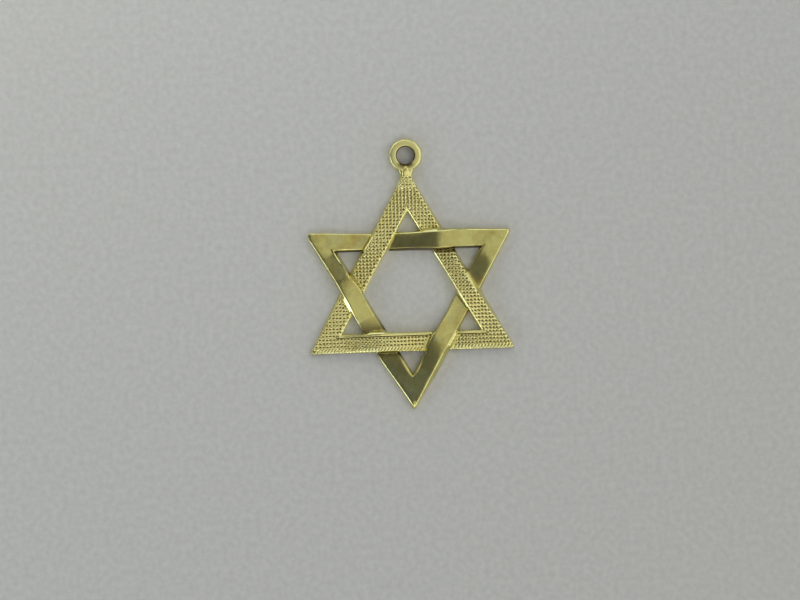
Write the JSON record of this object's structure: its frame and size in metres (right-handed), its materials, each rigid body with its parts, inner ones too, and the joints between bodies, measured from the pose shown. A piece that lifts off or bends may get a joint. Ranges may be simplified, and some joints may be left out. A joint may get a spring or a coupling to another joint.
{
  "type": "star of david pendant",
  "caption": "Flat-backed interlaced six-pointed star pendant with a fixed hanging loop; one triangle is polished, the other is struck with a grid of pits.",
  "frame": {"origin": "centre of the outline, on the plane of the flat back", "axes": "+Z out of the face, +Y towards the hanging loop"},
  "size_m": [0.0242, 0.0322, 0.0014],
  "materials": {
    "brass": "polished and struck"
  },
  "bodies": {
    "root": {"star_pendant": "brass"}
  },
  "joints": []
}
